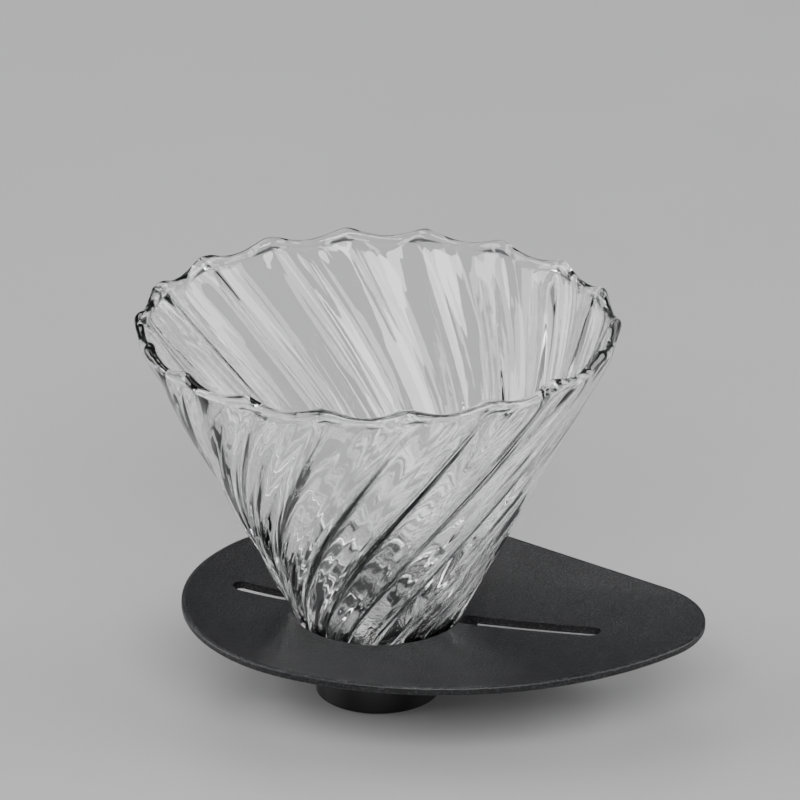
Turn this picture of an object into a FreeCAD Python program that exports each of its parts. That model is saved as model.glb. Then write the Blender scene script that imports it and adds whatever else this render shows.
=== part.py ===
"""Pour over dripper: fluted glass cone, dished holder plate, neck seal and twist-lock foot ring.

Own frame in millimetres: the origin is on the cone axis at the underside of the foot, +Z is up,
and +X runs along the viewing slots towards the handle end of the plate.
"""
import FreeCAD, Part
import math
import os
import Sketcher

V = FreeCAD.Vector

SIZES = {
    # fluted glass cone: radii are to the outside of the lobes
    "flute_count": 18,
    "cone_foot_radius": 20.6,
    "cone_foot_level": 21.2,
    "cone_rim_radius": 57.0,
    "cone_rim_level": 92.2,
    "glass_wall": 2.0,
    "flute_depth": 2.3,
    "rim_flute_depth": 1.6,
    "flute_turn": 70.0,
    "flute_phase": -3.5,
    "flute_start_level": 17.6,
    "smooth_inset": 0.2,
    "inner_lead": 2.5,
    "bead_centre_radius": 55.7,
    "bead_level": 94.1,
    "bead_thin": 0.95,
    "knuckle_swell": 0.8,
    "knuckle_rise": 1.7,
    "knuckle_reach": 0.3,
    "glass_tip_level": 3.6,
    "glass_tip_round": 0.6,
    # holder plate
    "plate_left_radius": 47.3,
    "plate_tip_radius": 22.6,
    "plate_front_radius": 81.0,
    "tip_along": 56.8,
    "tip_aside": 4.5,
    "plate_edge_level": 24.3,
    "plate_thickness": 1.9,
    "edge_width": 1.0,
    "edge_round": 0.6,
    "dish_floor_radius": 22.5,
    "dish_floor_level": 21.2,
    "dish_middle_drop": 1.9,
    "slot_width": 4.8,
    "slot_start": 22.4,
    "slot_floor_level": 18.6,
    "short_slot_end": 36.7,
    "long_slot_end": 55.5,
    # funnel and bayonet skirt below the plate
    "funnel_mouth_radius": 21.0,
    "funnel_root_radius": 24.4,
    "lip_bore_radius": 18.2,
    "lip_level": 15.6,
    "skirt_outer_radius": 21.7,
    "skirt_inner_radius": 19.9,
    "skirt_shoulder": 12.0,
    "skirt_bottom": 9.4,
    "hook_inner_radius": 18.1,
    "hook_top": 10.7,
    "hook_span": 50.0,
    "stop_inner_radius": 18.95,
    "stop_top": 13.0,
    "stop_span": 4.0,
    "lug_count": 3,
    # foot ring
    "foot_radius": 15.1,
    "foot_bore_radius": 11.9,
    "foot_bore_top": 3.76,
    "flare_start": 7.2,
    "flare_top": 12.2,
    "flare_radius": 18.6,
    "ring_top": 13.0,
    "ring_mouth_radius": 16.65,
    "foot_round": 0.5,
    "lug_root_radius": 17.0,
    "lug_radius": 19.5,
    "lug_bottom": 10.9,
    "lug_top": 12.6,
    "lug_span": 48.0,
    # neck seal
    "seal_bottom": 13.1,
    "seal_top": 15.5,
    "seal_radius": 19.5,
    "seal_bore_bottom": 16.33,
    "seal_bore_top": 17.56,
}

# spline poles round the cone for each flute: enough for a crisp groove between round lobes
POLES_PER_FLUTE = 8
# rows of poles up the fluted wall, close enough for a smooth spiral
FLUTED_ROWS = 12
# how the flutes fade in above the plain cone: share of the way up, share of the full depth
FADE_IN = ((0.0, 0.0), (0.25, 0.0), (0.5, 0.4))
# share of the fluted wall from which it follows the knuckles of the rim
RIM_START = 0.75
# the inner grooves reach their full lead over the first part of the wall
LEAD_GROWTH = 4
# spans of the surface in one patch of the wall
PATCH_SPANS = 3

# radii of the plate's outline: round end, tip and long front arc
OUTLINE_RADII = ("plate_left_radius", "plate_tip_radius", "plate_front_radius")
# where the dish's sections lie, as shares of the way from its round floor to the outline
DISH_SHARES = (0.06, 0.55, 1.0)

doc = FreeCAD.newDocument("pour_over_dripper")
sheet = doc.addObject("Spreadsheet::Sheet", "Sizes")
for row, (alias, value) in enumerate(SIZES.items(), start=1):
    sheet.set("A%d" % row, alias)
    sheet.set("B%d" % row, str(value))
    sheet.setAlias("B%d" % row, alias)
doc.recompute()


def size(alias):
    """Value of one driving dimension."""
    return float(sheet.get(alias))


def named(alias):
    """A driving dimension as the pair (expression, value) that the sketches are bound with."""
    return "Sizes.%s" % alias, size(alias)


def blend(first, second, share):
    """The pair (expression, value) lying a given share of the way between two dimensions."""
    expression = "Sizes.%s * %s + Sizes.%s * %s" % (first, 1 - share, second, share)
    return expression, size(first) * (1 - share) + size(second) * share


def plus(first, second, times=1):
    """The pair (expression, value) for one dimension plus a multiple of another."""
    return ("Sizes.%s + Sizes.%s * %s" % (first, second, times),
            size(first) + size(second) * times)


ZERO = ("0 mm", 0.0)
# edges and levels nearer than this, in millimetres, count as flat or equal
FLAT = 0.001


# ---------------------------------------------------------------- sketch and body helpers

def new_body(label):
    """Empty body whose label is the name of the finished piece."""
    body = doc.addObject("PartDesign::Body", label)
    body.Label = label
    return body


def new_sketch(body, name, plane, level=ZERO):
    """Sketch on one of the body's own origin planes, lifted to a level."""
    sketch = body.newObject("Sketcher::SketchObject", name)
    origin_plane = next(f for f in body.Origin.OriginFeatures if f.Role == plane)
    sketch.AttachmentSupport = (origin_plane, "")
    sketch.MapMode = "FlatFace"
    if level is not ZERO:
        sketch.setExpression(".AttachmentOffset.Base.z", level[0])
    return sketch


def hold(sketch, kind, references, target):
    """Add one dimension to a sketch and bind it to its expression."""
    index = sketch.addConstraint(Sketcher.Constraint(kind, *references, target[1]))
    if target is not ZERO:
        sketch.setExpression("Constraints[%d]" % index, target[0])


def hold_point(sketch, geometry, position, across, up):
    """Hold a point of a sketch at its two distances from the sketch's origin."""
    hold(sketch, "DistanceX", (-1, 1, geometry, position), across)
    hold(sketch, "DistanceY", (-1, 1, geometry, position), up)


def polygon_sketch(body, name, plane, corners, level=ZERO):
    """Closed outline through corners, each a pair of bound distances across and up."""
    sketch = new_sketch(body, name, plane, level)
    spots = [V(across[1], up[1], 0) for across, up in corners]
    count = len(spots)
    for index in range(count):
        sketch.addGeometry(Part.LineSegment(spots[index], spots[(index + 1) % count]), False)
    for index in range(count):
        sketch.addConstraint(Sketcher.Constraint("Coincident", index, 2, (index + 1) % count, 1))
    for index, (across, up) in enumerate(corners):
        hold_point(sketch, index, 1, across, up)
    return sketch


def turned(body, kind, name, corners):
    """Revolution or groove about Z of an outline drawn as radius and height."""
    sketch = polygon_sketch(body, name + "_profile", "XZ_Plane", corners)
    feature = body.newObject("PartDesign::" + kind, name)
    feature.Profile = sketch
    feature.ReferenceAxis = (sketch, ["V_Axis"])
    feature.Angle = 360.0
    sketch.Visibility = False
    doc.recompute()
    return feature


def sector_pad(body, name, inner, outer, bottom, top, middle_angle, span):
    """Block between two radii and two levels, spanning an angle about Z."""
    sketch = new_sketch(body, name + "_profile", "XY_Plane", bottom)
    angles = [math.radians(middle_angle + side * span / 2) for side in (-1, 1)]
    for radius in (inner, outer):
        circle = Part.Circle(V(0, 0, 0), V(0, 0, 1), radius[1])
        sketch.addGeometry(Part.ArcOfCircle(circle, *angles), False)
    for angle in angles:
        ray = V(math.cos(angle), math.sin(angle), 0)
        sketch.addGeometry(Part.LineSegment(ray * inner[1], ray * outer[1]), False)
    for arc, radius in ((0, inner), (1, outer)):
        sketch.addConstraint(Sketcher.Constraint("Coincident", arc, 3, -1, 1))
        hold(sketch, "Radius", (arc,), radius)
    for line, arc_end, angle in ((2, 1, angles[0]), (3, 2, angles[1])):
        sketch.addConstraint(Sketcher.Constraint("Coincident", line, 1, 0, arc_end))
        sketch.addConstraint(Sketcher.Constraint("Coincident", line, 2, 1, arc_end))
        sketch.addConstraint(Sketcher.Constraint("Angle", line, angle))
    pad = body.newObject("PartDesign::Pad", name)
    pad.Profile = sketch
    pad.setExpression("Length", "(%s) - (%s)" % (top[0], bottom[0]))
    sketch.Visibility = False
    doc.recompute()
    return pad


def repeat_round(body, name, features, count_alias):
    """Repeat features evenly round Z."""
    pattern = body.newObject("PartDesign::PolarPattern", name)
    pattern.Originals = features
    z_axis = next(f for f in body.Origin.OriginFeatures if f.Role == "Z_Axis")
    pattern.Axis = (z_axis, [""])
    pattern.Angle = 360.0
    body.Tip = pattern
    pattern.setExpression("Occurrences", "Sizes." + count_alias)
    doc.recompute()
    return pattern


def round_edges(body, name, feature, radius_alias, chosen):
    """Fillet on the edges of a feature whose bounding boxes are chosen."""
    edges = ["Edge%d" % number for number, edge in enumerate(feature.Shape.Edges, start=1)
             if chosen(edge.BoundBox)]
    rounds = body.newObject("PartDesign::Fillet", name)
    rounds.Base = (feature, edges)
    rounds.setExpression("Radius", "Sizes." + radius_alias)
    doc.recompute()
    return rounds


# ---------------------------------------------------------------- holder plate

def tangent_centre(far_centre, far_radius, near_radius, radius, side):
    """Centre of an arc of a radius that wraps both a circle at the origin and a second circle."""
    span = far_centre.Length
    from_origin = radius - near_radius
    from_far = radius - far_radius
    along = (from_origin ** 2 - from_far ** 2 + span ** 2) / (2 * span)
    aside = math.sqrt(from_origin ** 2 - along ** 2)
    unit = far_centre / span
    return unit * along + V(-unit.y, unit.x, 0) * (side * aside)


def outline_sketch(body, name, level, sizes):
    """Plate outline: round left end, long front arc, small round tip and straight back edge."""
    left, tip, front, tip_along, tip_aside = sizes
    tip_centre = V(tip_along[1], tip_aside[1], 0)
    front_centre = tangent_centre(tip_centre, tip[1], left[1], front[1], 1)
    lean = math.acos((left[1] - tip[1]) / tip_centre.Length)
    back_angle = math.atan2(tip_centre.y, tip_centre.x) + lean
    back_normal = V(math.cos(back_angle), math.sin(back_angle), 0)
    front_left = -front_centre / front_centre.Length
    front_tip = (tip_centre - front_centre) / (tip_centre - front_centre).Length
    left_start = back_angle
    left_end = math.atan2(front_left.y, front_left.x)
    tip_angle = math.atan2(front_tip.y, front_tip.x)

    sketch = new_sketch(body, name, "XY_Plane", level)
    turn = 2 * math.pi
    arcs = ((V(0, 0, 0), left, left_start, left_end + turn),
            (front_centre, front, left_end + turn, tip_angle + turn),
            (tip_centre, tip, tip_angle, back_angle))
    for centre, radius, start, end in arcs:
        circle = Part.Circle(centre, V(0, 0, 1), radius[1])
        sketch.addGeometry(Part.ArcOfCircle(circle, start, end), False)
    back_ends = (tip_centre + back_normal * tip[1], back_normal * left[1])
    sketch.addGeometry(Part.LineSegment(*back_ends), False)
    for index in range(4):
        joint = Sketcher.Constraint("Tangent", index, 2, (index + 1) % 4, 1)
        sketch.addConstraint(joint)
    sketch.addConstraint(Sketcher.Constraint("Coincident", 0, 3, -1, 1))
    hold_point(sketch, 2, 3, tip_along, tip_aside)
    for index, radius in enumerate((left, front, tip)):
        hold(sketch, "Radius", (index,), radius)
    return sketch


def dish_section(body, name, share, level, inset=None):
    """Section of the dish a share of the way from its round floor to the plate's outline, or
    inside that outline by an inset."""
    if inset is None:
        radii = [blend("dish_floor_radius", alias, share) for alias in OUTLINE_RADII]
    else:
        radii = [plus(alias, inset, -1) for alias in OUTLINE_RADII]
    places = [("Sizes.%s * %s" % (alias, share), size(alias) * share)
              for alias in ("tip_along", "tip_aside")]
    return outline_sketch(body, name, level, radii + places)


def dish_loft(body, kind, name, drop_alias, inset):
    """Loft from the dish's round floor out to the plate's edge, with a middle section that
    makes the slope grow towards the edge."""
    drop = size(drop_alias) if drop_alias else 0.0
    drop_text = " - Sizes.%s" % drop_alias if drop_alias else ""
    levels = [("Sizes.dish_floor_level" + drop_text, size("dish_floor_level") - drop),
              ("Sizes.plate_edge_level - Sizes.dish_middle_drop" + drop_text,
               size("plate_edge_level") - size("dish_middle_drop") - drop),
              ("Sizes.plate_edge_level" + drop_text, size("plate_edge_level") - drop)]
    sections = [dish_section(body, "%s_section_%d" % (name, index), share, level,
                             inset if share == DISH_SHARES[-1] else None)
                for index, (share, level) in enumerate(zip(DISH_SHARES, levels))]
    loft = body.newObject("PartDesign::" + kind, name)
    loft.Profile = sections[0]
    loft.Sections = sections[1:]
    for section in sections:
        section.Visibility = False
    doc.recompute()
    return loft


def cut_slot(body, name, end_alias, side):
    """Round-ended viewing slot lying along X on one side of the cone, cut down through the dish
    but not into the funnel below it."""
    half = size("slot_width") / 2
    near = size("slot_start") * side
    far = (size(end_alias) - half) * side
    sketch = new_sketch(body, name + "_profile", "XY_Plane", named("plate_edge_level"))
    low, high = sorted((near, far))
    ends = (("slot_start", 0), (end_alias, half))
    for centre, start in ((low, math.pi / 2), (high, -math.pi / 2)):
        circle = Part.Circle(V(centre, 0, 0), V(0, 0, 1), half)
        sketch.addGeometry(Part.ArcOfCircle(circle, start, start + math.pi), False)
    sketch.addGeometry(Part.LineSegment(V(low, -half, 0), V(high, -half, 0)), False)
    sketch.addGeometry(Part.LineSegment(V(high, half, 0), V(low, half, 0)), False)
    for first, second in ((0, 2), (2, 1), (1, 3), (3, 0)):
        sketch.addConstraint(Sketcher.Constraint("Tangent", first, 2, second, 1))
    sketch.addConstraint(Sketcher.Constraint("PointOnObject", 0, 3, -1))
    hold(sketch, "Radius", (0,), ("Sizes.slot_width / 2", half))
    for alias, trim in ends:
        centre = (size(alias) - trim) * side
        arc = 0 if centre == low else 1
        text = "Sizes.%s" % alias + (" - Sizes.slot_width / 2" if trim else "")
        hold(sketch, "DistanceX", (-1, 1, arc, 3), ("(%s) * %d" % (text, side), centre))
    pocket = body.newObject("PartDesign::Pocket", name)
    pocket.Profile = sketch
    pocket.setExpression("Length", "Sizes.plate_edge_level - Sizes.slot_floor_level")
    sketch.Visibility = False
    doc.recompute()
    return pocket


def build_holder_plate():
    """Dished plate with its handle end, viewing slots, funnel and bayonet skirt."""
    body = new_body("holder_plate")
    dish_loft(body, "AdditiveLoft", "underside", "plate_thickness", None)
    edge_level = ("Sizes.plate_edge_level - Sizes.plate_thickness",
                  size("plate_edge_level") - size("plate_thickness"))
    sizes = [named(alias) for alias in OUTLINE_RADII + ("tip_along", "tip_aside")]
    rim_sketch = outline_sketch(body, "edge_profile", edge_level, sizes)
    rim = body.newObject("PartDesign::Pad", "edge")
    rim.Profile = rim_sketch
    rim.setExpression("Length", "Sizes.plate_thickness")
    rim_sketch.Visibility = False
    doc.recompute()
    outline_levels = (edge_level[1], size("plate_edge_level"))
    round_edges(body, "edge_rounds", rim, "edge_round",
                lambda box: box.ZLength < FLAT and any(abs(box.ZMin - level) < FLAT
                                                       for level in outline_levels))
    dish_loft(body, "SubtractiveLoft", "dish", None, "edge_width")

    under_level = ("Sizes.dish_floor_level - Sizes.plate_thickness",
                   size("dish_floor_level") - size("plate_thickness"))
    turned(body, "Groove", "funnel_bore", (
        (ZERO, named("lip_level")),
        (named("lip_bore_radius"), named("lip_level")),
        (named("funnel_mouth_radius"), named("dish_floor_level")),
        (ZERO, named("dish_floor_level"))))
    turned(body, "Revolution", "funnel", (
        (named("skirt_inner_radius"), named("skirt_bottom")),
        (named("skirt_outer_radius"), named("skirt_bottom")),
        (named("skirt_outer_radius"), named("skirt_shoulder")),
        (named("funnel_root_radius"), under_level),
        (named("funnel_root_radius"), named("dish_floor_level")),
        (named("funnel_mouth_radius"), named("dish_floor_level")),
        (named("lip_bore_radius"), named("lip_level")),
        (named("skirt_inner_radius"), named("lip_level"))))
    wall_middle = blend("skirt_inner_radius", "skirt_outer_radius", 0.5)
    hook = sector_pad(body, "hook", named("hook_inner_radius"), wall_middle,
                      named("skirt_bottom"), named("hook_top"), 0, size("hook_span"))
    stop_angle = (size("hook_span") + size("stop_span")) / 2
    stop = sector_pad(body, "stop", named("stop_inner_radius"), wall_middle,
                      named("skirt_bottom"), named("stop_top"), stop_angle, size("stop_span"))
    repeat_round(body, "hooks", [hook, stop], "lug_count")
    cut_slot(body, "short_slot", "short_slot_end", -1)
    cut_slot(body, "long_slot", "long_slot_end", 1)
    return body


# ---------------------------------------------------------------- foot ring and neck seal

def build_foot_ring():
    """Standing foot: a flared ring with three lugs that twist-locks into the plate's skirt."""
    body = new_body("foot_ring")
    turned(body, "Revolution", "ring", (
        (named("foot_bore_radius"), ZERO),
        (named("foot_radius"), ZERO),
        (named("foot_radius"), named("flare_start")),
        (named("flare_radius"), named("flare_top")),
        (named("flare_radius"), named("ring_top")),
        (named("ring_mouth_radius"), named("ring_top")),
        (named("foot_bore_radius"), named("foot_bore_top"))))
    lug = sector_pad(body, "lug", named("lug_root_radius"), named("lug_radius"),
                     named("lug_bottom"), named("lug_top"), 0, size("lug_span"))
    pattern = repeat_round(body, "lugs", [lug], "lug_count")
    round_edges(body, "foot_rounds", pattern, "foot_round", lambda box: box.ZMax < FLAT)
    return body


def build_neck_seal():
    """Silicone ring squeezed between the foot ring, the plate's lip and the smooth glass cone."""
    body = new_body("neck_seal")
    turned(body, "Revolution", "seal", (
        (named("seal_bore_bottom"), named("seal_bottom")),
        (named("seal_radius"), named("seal_bottom")),
        (named("seal_radius"), named("seal_top")),
        (named("seal_bore_top"), named("seal_top"))))
    return body


# ---------------------------------------------------------------- fluted glass cone

def cone_slope():
    """Gain of radius with height along the cone."""
    return ((size("cone_rim_radius") - size("cone_foot_radius"))
            / (size("cone_rim_level") - size("cone_foot_level")))


def cone_level(radius):
    """Height at which the lobes of the cone reach a radius."""
    return size("cone_foot_level") + (radius - size("cone_foot_radius")) / cone_slope()


def smooth_radius(level):
    """Outside of the glass below its flutes, where it is a plain cone."""
    lobe_radius = size("cone_foot_radius") + cone_slope() * (level - size("cone_foot_level"))
    return lobe_radius - size("smooth_inset")


def spiral_angle(radius):
    """Angle of a groove, in degrees, where the lobes have a radius: a logarithmic spiral."""
    turn = size("flute_turn") * math.log(radius / size("cone_rim_radius"))
    return size("flute_phase") + turn


def ring_of_poles(radius, level, spiral, radial_gain=0.0, lift=0.0):
    """One turn of surface poles at a radius and level on the lobes.

    Towards each groove the radius grows by the radial gain and the level by the lift, along a
    law that is round over the lobes and sharp at the grooves.
    """
    count = int(size("flute_count")) * POLES_PER_FLUTE
    # poles of a cubic curve through a circle stand just outside it
    proud = 3 / (2 + math.cos(2 * math.pi / count))
    poles = []
    for index in range(count):
        angle = 2 * math.pi * index / count
        groove = 1 - abs(math.sin(size("flute_count") * angle / 2))
        reach = (radius + radial_gain * groove) * proud
        turned_by = angle + math.radians(spiral)
        poles.append(V(reach * math.cos(turned_by), reach * math.sin(turned_by),
                       level + lift * groove))
    return poles


def wall_rows(inset, lead):
    """Rows of poles up one side of the fluted wall, from the plain cone to just under the bead.

    The inset is how far this side lies inside the outer one, and the lead is how far its
    grooves run ahead of the outer ones in the spiral's sense, away from both ends.
    """
    foot = size("cone_foot_radius")
    start = size("flute_start_level")
    spiral = spiral_angle(foot)
    rows = []
    for share, depth_share in FADE_IN:
        level = start + (size("cone_foot_level") - start) * share
        rows.append(ring_of_poles(smooth_radius(level) - inset, level, spiral,
                                  -size("flute_depth") * depth_share))
    growth = size("cone_rim_radius") / foot
    for index in range(FLUTED_ROWS + 1):
        share = index / FLUTED_ROWS
        radius = foot * growth ** share
        depth = size("flute_depth") + (size("rim_flute_depth") - size("flute_depth")) * share
        near_rim = max(0.0, (share - RIM_START) / (1 - RIM_START)) ** 2
        led_by = lead * min(1.0, LEAD_GROWTH * share) * (1 - near_rim)
        rows.append(ring_of_poles(radius - inset, cone_level(radius),
                                  spiral_angle(radius) + led_by, -depth,
                                  size("knuckle_rise") * near_rim))
    return rows


def bead_rows():
    """Rows of poles round the fire-polished bead, from its outside over its top to its inside.

    The bead swells into a raised knuckle wherever a groove meets it.
    """
    step = 45
    proud = 6 / (4 + 2 * math.cos(math.radians(step)))
    rows = []
    for angle in range(-step, 180 + step + 1, step):
        across = proud * math.cos(math.radians(angle))
        up = proud * math.sin(math.radians(angle))
        radius = size("bead_centre_radius") + size("bead_thin") * across
        rows.append(ring_of_poles(
            radius, size("bead_level") + size("bead_thin") * up, spiral_angle(radius),
            size("knuckle_reach") + size("knuckle_swell") * across,
            size("knuckle_rise") + size("knuckle_swell") * up))
    return rows


def flute_patches(rows):
    """Faces of one flute of the spline surface through rings of poles, cut into short patches."""
    poles = [list(column) for column in zip(*rows)]
    around, spans, degree = len(poles), len(rows) - 3, 3
    counts = [degree + 1] + [1] * (spans - 1) + [degree + 1]
    surface = Part.BSplineSurface()
    surface.buildFromPolesMultsKnots(poles, [1] * (around + 1), counts,
                                     list(range(around + 1)), list(range(spans + 1)),
                                     True, False, degree, degree)
    patches = []
    for low in range(0, spans, PATCH_SPANS):
        patch = surface.copy()
        patch.segment(0, POLES_PER_FLUTE, low, min(low + PATCH_SPANS, spans))
        patches.append(patch.toShape())
    seam = surface.value(0, 0)
    return patches, math.degrees(math.atan2(seam.y, seam.x))


def rounded_line(corners, radius):
    """Edges of a line through corners, with its inner corners rounded to a radius."""
    edges = []
    start = corners[0]
    for before, corner, after in zip(corners, corners[1:], corners[2:]):
        back = (before - corner).normalize()
        onward = (after - corner).normalize()
        half_angle = back.getAngle(onward) / 2
        trim = radius / math.tan(half_angle)
        middle = (back + onward).normalize() * (radius / math.sin(half_angle) - radius)
        edges.append(Part.makeLine(start, corner + back * trim))
        edges.append(Part.Arc(corner + back * trim, corner + middle,
                              corner + onward * trim).toShape())
        start = corner + onward * trim
    edges.append(Part.makeLine(start, corners[-1]))
    return edges


def smooth_foot(start_angle, span):
    """Faces of a sector of the plain cone below the flutes, with its round-edged open tip."""
    wall = size("glass_wall")
    top, bottom = size("flute_start_level"), size("glass_tip_level")
    corners = [V(smooth_radius(level) - inset, 0, level)
               for level, inset in ((top, 0), (bottom, 0), (bottom, wall), (top, wall))]
    profile = Part.Wire(rounded_line(corners, size("glass_tip_round")))
    profile.rotate(V(0, 0, 0), V(0, 0, 1), start_angle)
    return profile.revolve(V(0, 0, 0), V(0, 0, 1), span).Faces


def build_glass_cone():
    """Spiral-fluted glass cone with a knuckled bead and an open tip, sewn from one flute's
    faces repeated round the axis."""
    inner = wall_rows(size("glass_wall"), size("inner_lead"))
    patches, seam_angle = flute_patches(wall_rows(0, 0) + bead_rows() + inner[::-1])
    count = int(size("flute_count"))
    span = 360.0 / count
    flute = patches + smooth_foot(seam_angle, span)
    faces = [face.rotated(V(0, 0, 0), V(0, 0, 1), span * index)
             for index in range(count) for face in flute]
    shell = Part.makeShell(faces)
    shell.sewShape()
    solid = Part.makeSolid(Part.Shell(shell.Faces))
    if solid.Volume < 0:
        solid.reverse()
    glass = doc.addObject("Part::Feature", "glass_cone")
    glass.Label = "glass_cone"
    glass.Shape = solid
    return glass


def export(pieces):
    """Check every feature and piece, then write one STEP file for each piece."""
    doc.recompute()
    for feature in doc.Objects:
        if "Invalid" in feature.State or "Error" in feature.State:
            raise RuntimeError("%s is in error: %s" % (feature.Label, feature.State))
    os.makedirs("parts", exist_ok=True)
    for piece in pieces:
        shape = piece.Shape
        if shape.isNull() or not shape.isValid() or len(shape.Solids) != 1:
            raise RuntimeError("%s isn't one valid solid" % piece.Label)
        box = shape.BoundBox
        print("%-14s volume %9.1f mm3, x %.2f..%.2f y %.2f..%.2f z %.2f..%.2f" % (
            piece.Label, shape.Volume, box.XMin, box.XMax, box.YMin, box.YMax,
            box.ZMin, box.ZMax))
        shape.exportStep(os.path.join("parts", piece.Label + ".step"))


export([build_glass_cone(), build_holder_plate(), build_foot_ring(), build_neck_seal()])
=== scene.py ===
"""Pour over dripper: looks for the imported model.

The frame is in metres: the origin is on the cone axis at the underside of the foot, +Z is up,
and +X runs along the viewing slots towards the handle end of the plate.
"""

import math

import bmesh
import bpy
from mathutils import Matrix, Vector


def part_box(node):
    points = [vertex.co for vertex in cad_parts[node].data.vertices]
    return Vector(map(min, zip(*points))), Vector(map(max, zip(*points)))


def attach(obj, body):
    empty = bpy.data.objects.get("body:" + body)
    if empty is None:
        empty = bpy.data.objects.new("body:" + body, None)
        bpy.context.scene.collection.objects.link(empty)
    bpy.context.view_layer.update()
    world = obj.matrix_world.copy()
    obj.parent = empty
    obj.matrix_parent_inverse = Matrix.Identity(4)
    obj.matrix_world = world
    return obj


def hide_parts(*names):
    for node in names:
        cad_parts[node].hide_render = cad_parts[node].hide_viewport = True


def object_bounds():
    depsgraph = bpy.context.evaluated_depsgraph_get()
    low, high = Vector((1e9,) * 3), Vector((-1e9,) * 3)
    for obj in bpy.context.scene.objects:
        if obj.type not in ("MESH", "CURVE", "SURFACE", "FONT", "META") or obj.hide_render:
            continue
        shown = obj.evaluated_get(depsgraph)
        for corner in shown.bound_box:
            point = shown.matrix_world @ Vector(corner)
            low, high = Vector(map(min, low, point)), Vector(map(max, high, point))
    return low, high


# the cone is worked out in millimetres, the scene is in metres
MM = 0.001

# studio, in metres and degrees
FLOOR_HALF_WIDTH = 3.0
STUDIO_RADIUS = 3.0
AIR_COLOUR = (0.5, 0.51, 0.53, 1)
AIR_BRIGHTNESS = 0.24

# camera: it stands round a pivot on the cone axis and looks at the middle of the picture
CAMERA_AZIMUTH = 17.5
CAMERA_ELEVATION = 24.4
CAMERA_DISTANCE = 1.674
CAMERA_PIVOT = Vector((0, 0, 0.045))
PICTURE_MIDDLE = Vector((0.0050, 0.0016, 0.0756))
# sensor and lens, in millimetres
SENSOR_WIDTH = 36.0
FOCAL_LENGTH = 315.0

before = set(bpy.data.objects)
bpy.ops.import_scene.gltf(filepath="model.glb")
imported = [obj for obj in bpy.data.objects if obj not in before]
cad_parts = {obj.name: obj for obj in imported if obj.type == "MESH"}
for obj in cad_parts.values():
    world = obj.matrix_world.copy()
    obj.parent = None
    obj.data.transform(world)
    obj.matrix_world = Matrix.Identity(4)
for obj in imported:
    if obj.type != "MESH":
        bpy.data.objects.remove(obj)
CAD_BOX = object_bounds()

# glass cone, in millimetres: radii are to the outside of the lobes
FLUTE_COUNT = 18
GLASS_WALL = 2.0
FLUTE_DEPTH = 2.3
RIM_FLUTE_DEPTH = 1.6
FLUTE_TURN = 70.0
FLUTE_PHASE = -3.5
INNER_LEAD = 2.5
SMOOTH_INSET = 0.2
CONE_FOOT_RADIUS = 20.6
CONE_FOOT_LEVEL = 21.2
CONE_RIM_RADIUS = 57.0
CONE_RIM_LEVEL = 92.2
FLUTE_START_LEVEL = 17.6
TIP_ROUND = 0.45

# bead along the rim, thin between its knuckles
BEAD_CENTRE_RADIUS = 55.7
BEAD_LEVEL = 94.1
BEAD_THIN = 0.95
KNUCKLE_SWELL = 0.8
KNUCKLE_RISE = 1.7
KNUCKLE_REACH = 0.3

# control points round the cone for each flute, and rows of them up the fluted wall
POINTS_PER_FLUTE = 8
FLUTED_ROWS = 12
# share of the fluted wall from which it follows the knuckles of the rim
RIM_START = 0.75
# how the flutes fade in above the plain cone: share of the way up, share of the full depth
FADE_IN = ((0.0, 0.0), (0.25, 0.0), (0.5, 0.4))
# places of the rows of control points up the plain cone, as shares of its height
PLAIN_ROWS = (0.15, 0.4, 0.7, 0.9)
# the inner grooves reach their full lead over the first part of the wall
LEAD_GROWTH = 4
# name of the attribute that holds places in the space where the flutes run straight up
STREAK_SPACE = "along_flutes"
# the surface is subdivided this often
SUBDIVISIONS = 2


# ---------------------------------------------------------------- mesh helpers

def linked(name, data):
    """New object in the scene."""
    piece = bpy.data.objects.new(name, data)
    bpy.context.scene.collection.objects.link(piece)
    return piece


def mesh_of(name, bm):
    """Mesh made of a finished bmesh, with its faces turned outwards."""
    bmesh.ops.recalc_face_normals(bm, faces=bm.faces)
    mesh = bpy.data.meshes.new(name)
    bm.to_mesh(mesh)
    bm.free()
    return mesh


def subdivided(cage):
    """Smooth mesh that Catmull-Clark subdivision makes of a cage."""
    holder = linked("cage", cage)
    modifier = holder.modifiers.new("smooth", "SUBSURF")
    modifier.levels = SUBDIVISIONS
    depsgraph = bpy.context.evaluated_depsgraph_get()
    mesh = bpy.data.meshes.new_from_object(holder.evaluated_get(depsgraph))
    mesh.polygons.foreach_set("use_smooth", [True] * len(mesh.polygons))
    bpy.data.objects.remove(holder)
    bpy.data.meshes.remove(cage)
    return mesh


# ---------------------------------------------------------------- glass cone

def cone_slope():
    """Gain of radius with height along the cone."""
    return (CONE_RIM_RADIUS - CONE_FOOT_RADIUS) / (CONE_RIM_LEVEL - CONE_FOOT_LEVEL)


def cone_level(radius):
    """Height at which the lobes of the cone reach a radius."""
    return CONE_FOOT_LEVEL + (radius - CONE_FOOT_RADIUS) / cone_slope()


def smooth_radius(level):
    """Outside of the glass below its flutes, where it is a plain cone."""
    return CONE_FOOT_RADIUS + cone_slope() * (level - CONE_FOOT_LEVEL) - SMOOTH_INSET


def spiral_angle(radius):
    """Angle of a groove, in degrees, where the lobes have a radius: a logarithmic spiral."""
    return FLUTE_PHASE + FLUTE_TURN * math.log(radius / CONE_RIM_RADIUS)


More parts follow.
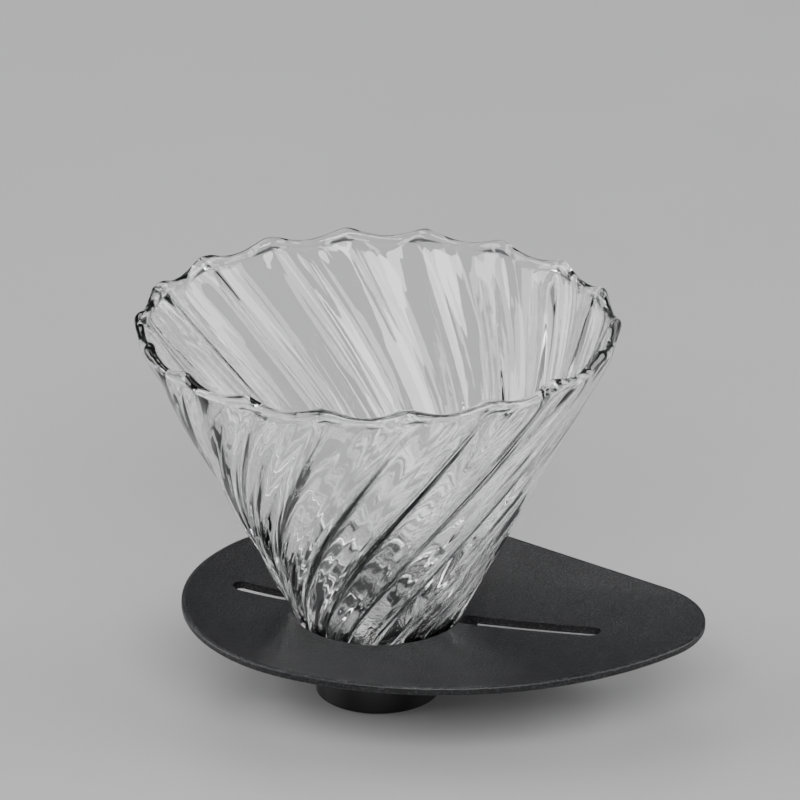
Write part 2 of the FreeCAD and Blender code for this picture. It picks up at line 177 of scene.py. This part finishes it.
def ring_of_points(radius, level, spiral, radial_gain=0.0, lift=0.0):
    """One turn of control points at a radius and level on the lobes.

    Towards each groove the radius grows by the radial gain and the level by the lift, along a
    law that is round over the lobes and sharp at the grooves.
    """
    count = FLUTE_COUNT * POINTS_PER_FLUTE
    # control points of a smooth curve through a circle stand just outside it
    proud = 3 / (2 + math.cos(2 * math.pi / count))
    points = []
    for index in range(count):
        angle = 2 * math.pi * index / count
        groove = 1 - abs(math.sin(FLUTE_COUNT * angle / 2))
        reach = (radius + radial_gain * groove) * proud
        turned_by = angle + math.radians(spiral)
        points.append(Vector((reach * math.cos(turned_by), reach * math.sin(turned_by),
                              level + lift * groove)) * MM)
    return points


def plain_rows(inset, tip_level):
    """Rows of control points up one side of the plain cone, from its round tip."""
    spiral = spiral_angle(CONE_FOOT_RADIUS)
    inward = TIP_ROUND if inset == 0 else -TIP_ROUND
    tip_radius = smooth_radius(tip_level) - inset
    rows = [ring_of_points(tip_radius - inward, tip_level, spiral),
            ring_of_points(smooth_radius(tip_level + TIP_ROUND) - inset,
                           tip_level + TIP_ROUND, spiral)]
    for share in PLAIN_ROWS:
        level = tip_level + (FLUTE_START_LEVEL - tip_level) * share
        rows.append(ring_of_points(smooth_radius(level) - inset, level, spiral))
    return rows


def fluted_rows(inset, lead):
    """Rows of control points up one side of the fluted wall, from the plain cone to the bead.

    The inset is how far this side lies inside the outer one, and the lead is how far its
    grooves run ahead of the outer ones in the spiral's sense, away from both ends.
    """
    spiral = spiral_angle(CONE_FOOT_RADIUS)
    rows = []
    for share, depth_share in FADE_IN:
        level = FLUTE_START_LEVEL + (CONE_FOOT_LEVEL - FLUTE_START_LEVEL) * share
        rows.append(ring_of_points(smooth_radius(level) - inset, level, spiral,
                                   -FLUTE_DEPTH * depth_share))
    growth = CONE_RIM_RADIUS / CONE_FOOT_RADIUS
    for index in range(FLUTED_ROWS + 1):
        share = index / FLUTED_ROWS
        radius = CONE_FOOT_RADIUS * growth ** share
        depth = FLUTE_DEPTH + (RIM_FLUTE_DEPTH - FLUTE_DEPTH) * share
        near_rim = max(0.0, (share - RIM_START) / (1 - RIM_START)) ** 2
        led_by = lead * min(1.0, LEAD_GROWTH * share) * (1 - near_rim)
        rows.append(ring_of_points(radius - inset, cone_level(radius),
                                   spiral_angle(radius) + led_by, -depth,
                                   KNUCKLE_RISE * near_rim))
    return rows


def bead_rows():
    """Rows of control points round the fire-polished bead, from outside over its top to inside.

    The bead swells into a raised knuckle wherever a groove meets it.
    """
    step = 45
    proud = 6 / (4 + 2 * math.cos(math.radians(step)))
    rows = []
    for angle in range(-step, 180 + step + 1, step):
        across = proud * math.cos(math.radians(angle))
        up = proud * math.sin(math.radians(angle))
        radius = BEAD_CENTRE_RADIUS + BEAD_THIN * across
        rows.append(ring_of_points(radius, BEAD_LEVEL + BEAD_THIN * up, spiral_angle(radius),
                                   KNUCKLE_REACH + KNUCKLE_SWELL * across,
                                   KNUCKLE_RISE + KNUCKLE_SWELL * up))
    return rows


def mark_streaks(mesh):
    """Give each point of the glass a place in a space where the flutes run straight up."""
    marks = mesh.attributes.new(STREAK_SPACE, "FLOAT_VECTOR", "POINT")
    for vertex, mark in zip(mesh.vertices, marks.data):
        spot = vertex.co / MM
        radius = math.hypot(spot.x, spot.y)
        angle = math.atan2(spot.y, spot.x) - math.radians(spiral_angle(radius))
        mark.vector = (math.cos(angle), math.sin(angle), spot.z / CONE_RIM_LEVEL)


def build_glass(material):
    """Fluted glass wall as one closed skin: up the outside, over the bead, down the inside."""
    tip_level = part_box("glass_cone")[0].z / MM
    outer = plain_rows(0, tip_level) + fluted_rows(0, 0)
    inner = plain_rows(GLASS_WALL, tip_level) + fluted_rows(GLASS_WALL, INNER_LEAD)
    rows = outer + bead_rows() + inner[::-1]
    bm = bmesh.new()
    grid = [[bm.verts.new(point) for point in row] for row in rows]
    around = len(grid[0])
    for row, above in zip(grid, grid[1:] + grid[:1]):
        for index in range(around):
            following = (index + 1) % around
            bm.faces.new((row[index], row[following], above[following], above[index]))
    glass = linked("glass_wall", subdivided(mesh_of("cage", bm)))
    mark_streaks(glass.data)
    glass.data.materials.append(material)
    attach(glass, "cone")
    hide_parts("glass_cone")


# ---------------------------------------------------------------- materials

class Shader:
    """A new material with its Principled shader and short calls for the nodes used here."""

    def __init__(self, name):
        self.material = bpy.data.materials.new(name)
        self.material.use_nodes = True
        tree = self.material.node_tree
        self.nodes, self.links = tree.nodes, tree.links
        self.surface = self.nodes["Principled BSDF"]
        self.place = self.nodes.new("ShaderNodeTexCoord").outputs["Object"]

    def fixed(self, **values):
        """Set sockets of the Principled shader that are the same all over."""
        for socket, value in values.items():
            self.surface.inputs[socket.replace("_", " ")].default_value = value

    def drive(self, socket, source):
        """Drive one socket of the Principled shader."""
        self.links.new(source, self.surface.inputs[socket])

    def texture(self, place, scale, detail):
        """Noise of a scale, read at a place."""
        node = self.nodes.new("ShaderNodeTexNoise")
        node.inputs["Scale"].default_value = scale
        node.inputs["Detail"].default_value = detail
        self.links.new(place, node.inputs["Vector"])
        return node.outputs["Fac"]

    def noise(self, grain_mm, detail=2.0):
        """Noise whose features are about a size in millimetres."""
        return self.texture(self.place, 1 / (grain_mm * MM), detail)

    def streaks(self, count, drawn_out, detail=0.5):
        """Noise of about a count of streaks round the glass, drawn out along its flutes and
        fading towards its foot."""
        place = self.nodes.new("ShaderNodeAttribute")
        place.attribute_name = STREAK_SPACE
        mapping = self.nodes.new("ShaderNodeMapping")
        mapping.inputs["Scale"].default_value = (1, 1, 1 / drawn_out)
        self.links.new(place.outputs["Vector"], mapping.inputs["Vector"])
        strength = self.texture(mapping.outputs["Vector"], count / (2 * math.pi), detail)
        level = self.nodes.new("ShaderNodeSeparateXYZ")
        self.links.new(place.outputs["Vector"], level.inputs["Vector"])
        fade = self.nodes.new("ShaderNodeMath")
        fade.operation = "MULTIPLY"
        self.links.new(strength, fade.inputs[0])
        self.links.new(level.outputs["Z"], fade.inputs[1])
        return fade.outputs["Value"]

    def spread(self, source, low, high, start=0.3, end=0.7):
        """Source mapped from start..end to low..high."""
        node = self.nodes.new("ShaderNodeMapRange")
        for name, value in (("From Min", start), ("From Max", end),
                            ("To Min", low), ("To Max", high)):
            node.inputs[name].default_value = value
        self.links.new(source, node.inputs["Value"])
        return node.outputs["Result"]

    def colours(self, source, first, second):
        """Colour between two colours by a source from 0 to 1."""
        node = self.nodes.new("ShaderNodeMix")
        node.data_type = "RGBA"
        node.inputs["A"].default_value = (*first, 1)
        node.inputs["B"].default_value = (*second, 1)
        self.links.new(source, node.inputs["Factor"])
        return node.outputs["Result"]

    def bump(self, height, depth_mm, strength=1.0, under=None):
        """Bump of a depth in millimetres, which may be laid over another one."""
        node = self.nodes.new("ShaderNodeBump")
        node.inputs["Distance"].default_value = depth_mm * MM
        node.inputs["Strength"].default_value = strength
        self.links.new(height, node.inputs["Height"])
        if under is not None:
            self.links.new(under, node.inputs["Normal"])
        return node.outputs["Normal"]


def clear_glass():
    """Clear borosilicate: faint waviness, streaks along the flutes and a trace of tint."""
    shader = Shader("clear_glass_look")
    shader.fixed(Transmission_Weight=1.0, IOR=1.48)
    tint = shader.noise(grain_mm=30)
    shader.drive("Base Color", shader.colours(tint, (0.985, 0.99, 0.99), (1, 1, 1)))
    shader.drive("Roughness", shader.spread(shader.noise(grain_mm=12), low=0.0, high=0.015))
    waves = shader.bump(shader.noise(grain_mm=7, detail=1.0), depth_mm=0.12, strength=0.5)
    streaks = shader.streaks(count=90, drawn_out=16.0)
    shader.drive("Normal", shader.bump(streaks, depth_mm=0.85, under=waves))
    return shader.material


def grained_plastic():
    """Black plastic with a fine sand-blasted grain and a little glossier in patches."""
    shader = Shader("grained_black_plastic_look")
    shader.fixed(IOR=1.46, Specular_IOR_Level=0.3)
    grain = shader.noise(grain_mm=0.5)
    specks = shader.spread(grain, low=0.0, high=1.0, start=0.5, end=0.7)
    shader.drive("Base Color", shader.colours(specks, (0.003, 0.003, 0.0035),
                                              (0.026, 0.026, 0.028)))
    patches = shader.noise(grain_mm=16, detail=3.0)
    shader.drive("Roughness", shader.spread(patches, low=0.37, high=0.45))
    shader.drive("Normal", shader.bump(grain, depth_mm=0.13))
    return shader.material


def smooth_plastic():
    """Black plastic as it comes off a polished mould, with faint handling marks."""
    shader = Shader("smooth_black_plastic_look")
    shader.fixed(IOR=1.5)
    shader.drive("Base Color", shader.colours(shader.noise(grain_mm=8), (0.003, 0.003, 0.0035),
                                              (0.006, 0.006, 0.007)))
    marks = shader.noise(grain_mm=3, detail=4.0)
    shader.drive("Roughness", shader.spread(marks, low=0.10, high=0.18))
    ripple = shader.noise(grain_mm=1.2)
    shader.drive("Normal", shader.bump(ripple, depth_mm=0.02, strength=0.3))
    return shader.material


def silicone():
    """Matt black silicone with a fine dusty bloom."""
    shader = Shader("silicone_look")
    shader.fixed(IOR=1.41)
    shader.drive("Base Color", shader.colours(shader.noise(grain_mm=5), (0.010, 0.010, 0.011),
                                              (0.018, 0.018, 0.019)))
    bloom = shader.noise(grain_mm=2, detail=3.0)
    shader.drive("Roughness", shader.spread(bloom, low=0.55, high=0.7))
    pores = shader.noise(grain_mm=0.6)
    shader.drive("Normal", shader.bump(pores, depth_mm=0.02, strength=0.4))
    return shader.material


def floor_paint():
    """Plain floor paint, pale under the studio's light."""
    shader = Shader("pale_floor")
    mottle = shader.noise(grain_mm=90, detail=3.0)
    shader.drive("Base Color", shader.colours(mottle, (0.235, 0.235, 0.235),
                                              (0.26, 0.26, 0.26)))
    shader.fixed(Roughness=0.6)
    return shader.material


# ---------------------------------------------------------------- studio

def build_floor():
    """Wide floor in the plane the foot stands on."""
    bm = bmesh.new()
    bmesh.ops.create_grid(bm, x_segments=1, y_segments=1, size=FLOOR_HALF_WIDTH)
    floor = linked("floor", mesh_of("floor", bm))
    floor.data.materials.append(floor_paint())


def direction(azimuth, elevation):
    """Unit vector towards an azimuth and elevation: azimuth 0 is in front, on the -Y side."""
    a, e = math.radians(azimuth), math.radians(elevation)
    return Vector((math.sin(a) * math.cos(e), -math.cos(a) * math.cos(e), math.sin(e)))


def softbox(name, azimuth, elevation, wide, high, radiance):
    """Rectangular softbox aimed at the middle of the object, from which it looks a number of
    degrees wide and high."""
    width, height = (2 * STUDIO_RADIUS * math.tan(math.radians(angle / 2))
                     for angle in (wide, high))
    light = bpy.data.lights.new(name, "AREA")
    light.shape = "RECTANGLE"
    light.size = width
    light.size_y = height
    light.energy = radiance * math.pi * width * height
    lamp = linked(name, light)
    towards = direction(azimuth, elevation)
    lamp.location = (CAD_BOX[0] + CAD_BOX[1]) / 2 + towards * STUDIO_RADIUS
    lamp.rotation_euler = (-towards).to_track_quat("-Z", "Y").to_euler()


def build_lights():
    """Wide softboxes in front and at both sides, weak ones overhead and behind, and dim air."""
    softbox("front_box", azimuth=20, elevation=40, wide=50, high=24, radiance=16.0)
    softbox("left_box", azimuth=-75, elevation=26, wide=45, high=41, radiance=7.5)
    softbox("right_box", azimuth=105, elevation=26, wide=41, high=41, radiance=7.5)
    softbox("top_box", azimuth=200, elevation=80, wide=46, high=36, radiance=1.5)
    softbox("back_box", azimuth=-150, elevation=44, wide=30, high=13, radiance=4.0)
    world = bpy.data.worlds.new("studio")
    world.use_nodes = True
    background = world.node_tree.nodes["Background"]
    background.inputs["Color"].default_value = AIR_COLOUR
    background.inputs["Strength"].default_value = AIR_BRIGHTNESS
    bpy.context.scene.world = world


def build_camera():
    """Long lens, from a little above the rim and turned off the slots' line."""
    data = bpy.data.cameras.new("camera")
    data.sensor_width = SENSOR_WIDTH
    data.lens = FOCAL_LENGTH
    camera = linked("camera", data)
    towards = direction(CAMERA_AZIMUTH, CAMERA_ELEVATION)
    camera.location = CAMERA_PIVOT + towards * CAMERA_DISTANCE
    gaze = PICTURE_MIDDLE - camera.location
    camera.rotation_euler = gaze.to_track_quat("-Z", "Y").to_euler()
    bpy.context.scene.camera = camera


build_lights()
build_floor()
build_camera()
build_glass(clear_glass())
for node, material in (("holder_plate", grained_plastic()), ("foot_ring", smooth_plastic()),
                       ("neck_seal", silicone())):
    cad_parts[node].material_slots[0].material = material
